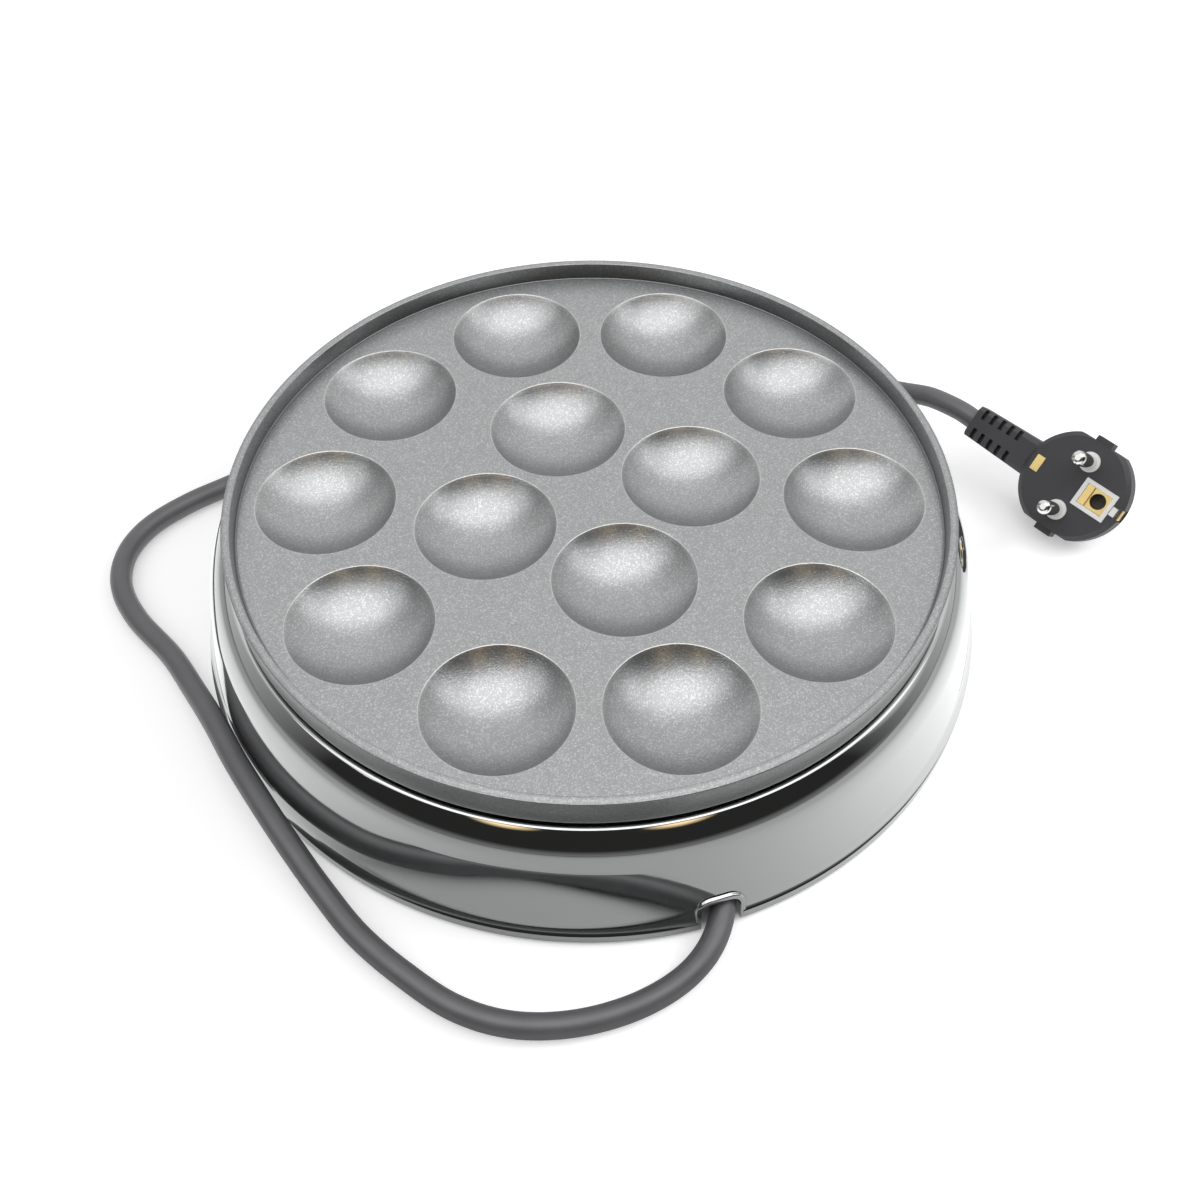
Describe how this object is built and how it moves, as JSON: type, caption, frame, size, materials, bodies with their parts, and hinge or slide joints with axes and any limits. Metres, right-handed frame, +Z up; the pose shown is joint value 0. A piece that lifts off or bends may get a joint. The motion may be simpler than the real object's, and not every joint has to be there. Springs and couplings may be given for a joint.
{
  "type": "poffertjes maker",
  "caption": "Round electric poffertjes maker: a dimpled non-stick cast baking plate on a mirror-bright pressed base, with a rubber mains lead and an angled earthed plug.",
  "frame": {"origin": "on the table, under the middle of the base", "axes": "+Z up, square to the baking plate; +X towards one dimple of the outer ring, -Y towards the viewer of the picture"},
  "size_m": [0.3436, 0.2964, 0.0528],
  "materials": {
    "nonstick_plate": "non-stick coating, satin",
    "gasket_rubber": "matte",
    "chrome_shell": "mirror polish",
    "cover_steel": "satin",
    "reflector_aluminium": "bright",
    "foot_rubber": "matte",
    "screw_steel": "zinc plated",
    "element_sheath": "heat darkened",
    "seal_ceramic": "matte",
    "clamp_steel": "satin",
    "thermostat_steel": "satin",
    "thermostat_phenolic": "matte",
    "contact_brass": "bright",
    "fuse_ceramic": "glazed",
    "block_ceramic": "matte",
    "clamp_plastic": "matte",
    "brown_insulation": "matte",
    "blue_insulation": "matte",
    "green_insulation": "matte",
    "cord_rubber": "matte",
    "plug_rubber": "matte",
    "plug_white": "satin",
    "pin_nickel": "nickel plated"
  },
  "bodies": {
    "root": {"baking_plate": "nonstick_plate", "plate_gasket": "gasket_rubber", "base_shell": "chrome_shell", "bottom_cover": "cover_steel", "heat_reflector": "reflector_aluminium", "tie_screws": "screw_steel", "foot_1": "foot_rubber", "foot_2": "foot_rubber", "foot_3": "foot_rubber", "foot_4": "foot_rubber", "tie_spacer_1": "clamp_steel", "tie_spacer_2": "clamp_steel", "tie_spacer_3": "clamp_steel", "tie_spacer_4": "clamp_steel", "heating_element": "element_sheath", "element_end_seals": "seal_ceramic", "element_terminals": "clamp_steel", "element_clamp_screws": "screw_steel", "element_clamp_1": "clamp_steel", "element_clamp_2": "clamp_steel", "element_clamp_3": "clamp_steel", "thermostat_cap": "thermostat_steel", "thermostat_body": "thermostat_phenolic", "thermostat_blades": "contact_brass", "thermostat_screws": "screw_steel", "thermal_fuse": "fuse_ceramic", "fuse_clip": "clamp_steel", "fuse_clip_screws": "screw_steel", "terminal_block": "block_ceramic", "terminal_screws": "contact_brass", "block_screw": "screw_steel", "earth_tag": "contact_brass", "earth_screw": "screw_steel", "cord_clamp": "clamp_plastic", "cord_clamp_screws": "screw_steel", "core_live": "brown_insulation", "core_neutral": "blue_insulation", "core_earth": "green_insulation", "lead_live": "brown_insulation", "lead_fuse": "brown_insulation", "lead_element": "brown_insulation", "lead_neutral": "blue_insulation", "lead_earth": "green_insulation", "power_cord": "cord_rubber", "plug_body": "plug_rubber", "plug_insert": "plug_white", "plug_pin_1": "pin_nickel", "plug_pin_2": "pin_nickel", "plug_earth_socket": "contact_brass", "plug_earth_clips": "contact_brass"}
  },
  "joints": []
}
